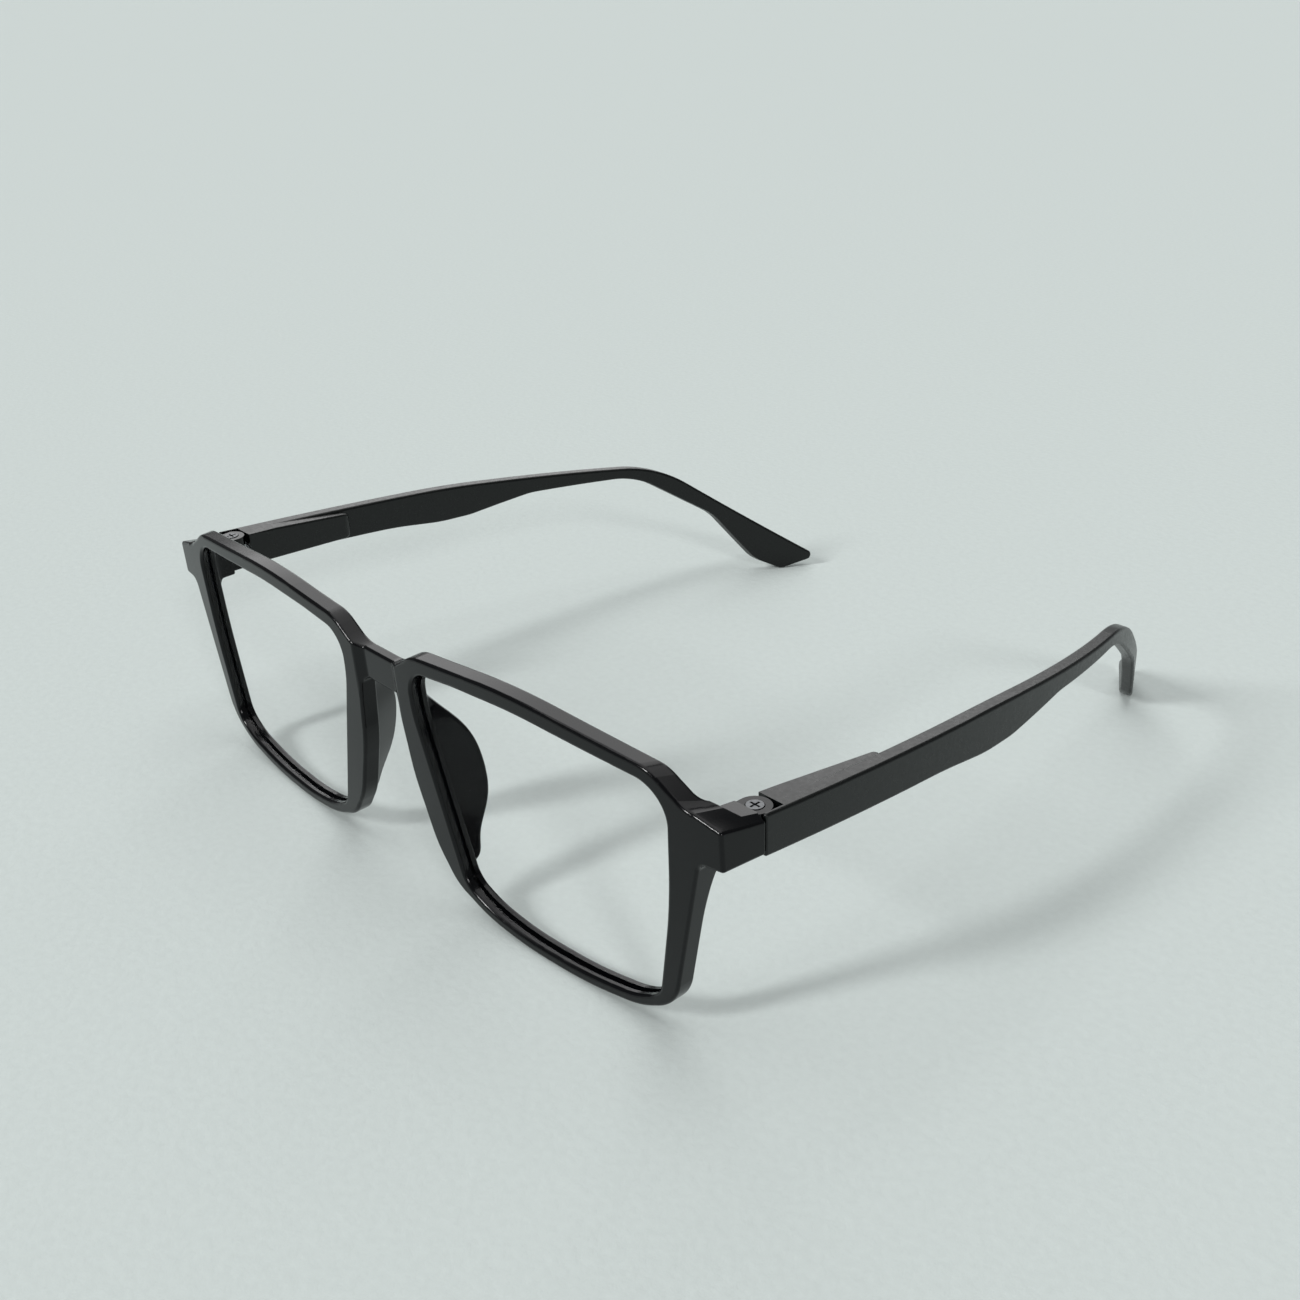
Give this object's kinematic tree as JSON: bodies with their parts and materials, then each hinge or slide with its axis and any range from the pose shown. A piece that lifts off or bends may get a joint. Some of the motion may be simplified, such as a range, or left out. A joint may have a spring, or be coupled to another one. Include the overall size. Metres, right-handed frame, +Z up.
{
  "type": "square eyeglasses",
  "caption": "Square full-rim eyeglasses with a moulded front, integral nose pads, clear lenses and curved temples on sprung folding hinges.",
  "frame": {"origin": "middle of the assembly's bounding box in X and Y, at the level it stands on", "axes": "+X towards the wearer's left, +Y from the front back along the temples, +Z up"},
  "size_m": [0.1412, 0.1412, 0.0434],
  "materials": {
    "front_plastic": "gloss black injection moulding",
    "temple_plastic": "satin black moulding",
    "lens_clear": "clear, uncoated",
    "steel": "plain stainless steel",
    "screw_steel": "dark plated screw",
    "brass": "plain turned brass"
  },
  "bodies": {
    "front": {"front_frame": "front_plastic", "left_lens": "lens_clear", "left_hinge_screw": "screw_steel", "left_hinge_insert": "brass", "right_lens": "lens_clear", "right_hinge_screw": "screw_steel", "right_hinge_insert": "brass"},
    "left_washers": {"left_hinge_washers": "brass"},
    "left_tenon": {"left_hinge_tenon": "steel", "left_hinge_collar": "steel"},
    "left_temple": {"left_temple": "temple_plastic", "left_hinge_casing": "steel", "left_hinge_retainer": "steel", "left_hinge_spring": "steel"},
    "right_washers": {"right_hinge_washers": "brass"},
    "right_tenon": {"right_hinge_tenon": "steel", "right_hinge_collar": "steel"},
    "right_temple": {"right_temple": "temple_plastic", "right_hinge_casing": "steel", "right_hinge_retainer": "steel", "right_hinge_spring": "steel"}
  },
  "joints": [
    {"name": "left_fold", "type": "hinge", "parent": "front", "child": "left_washers", "pos_m": [0.0673, -0.05763, 0.03319], "axis": [0, 0, 1], "range_deg": [0, 80]},
    {"name": "left_flex", "type": "hinge", "parent": "left_washers", "child": "left_tenon", "pos_m": [0.0673, -0.05763, 0.03319], "axis": [0, 0, -1], "range_deg": [0, 5], "stiffness_Nm_per_rad": 0.3},
    {"name": "left_slide", "type": "slide", "parent": "left_tenon", "child": "left_temple", "axis": [0, 1, 0], "range_m": [0, 0.0003]},
    {"name": "right_fold", "type": "hinge", "parent": "front", "child": "right_washers", "pos_m": [-0.0673, -0.05763, 0.03319], "axis": [0, 0, -1], "range_deg": [0, 64]},
    {"name": "right_flex", "type": "hinge", "parent": "right_washers", "child": "right_tenon", "pos_m": [-0.0673, -0.05763, 0.03319], "axis": [0, 0, 1], "range_deg": [0, 5], "stiffness_Nm_per_rad": 0.3},
    {"name": "right_slide", "type": "slide", "parent": "right_tenon", "child": "right_temple", "axis": [0, 1, 0], "range_m": [0, 0.0003]}
  ],
  "couplings": [
    {"joint": "left_slide", "follows": "left_flex", "m_per_rad": 0.0034},
    {"joint": "right_slide", "follows": "right_flex", "m_per_rad": 0.0034}
  ]
}
